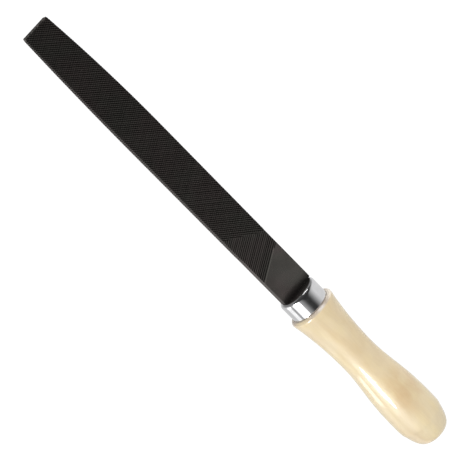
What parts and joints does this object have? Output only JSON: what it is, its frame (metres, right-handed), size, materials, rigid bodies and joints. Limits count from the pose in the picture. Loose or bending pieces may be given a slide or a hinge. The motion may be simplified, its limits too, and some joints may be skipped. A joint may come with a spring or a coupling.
{
  "type": "flat file",
  "caption": "Flat hand file with double-cut faces, a blade that tapers to its tip, a plated cup ferrule and a turned wooden handle.",
  "frame": {"origin": "on the handle's axis, in the middle of the ferrule's cylindrical band", "axes": "+X along the file towards its tip, +Z square to the blade's broad faces, +Y towards the edge that tapers less"},
  "size_m": [0.3173, 0.0284, 0.0284],
  "materials": {
    "file_steel": "hardened, blackened and lightly oiled",
    "ferrule_plating": "polished plating",
    "handle_wood": "clear gloss lacquer over pale hardwood"
  },
  "bodies": {
    "root": {"file_blade": "file_steel", "ferrule": "ferrule_plating", "handle": "handle_wood"}
  },
  "joints": []
}
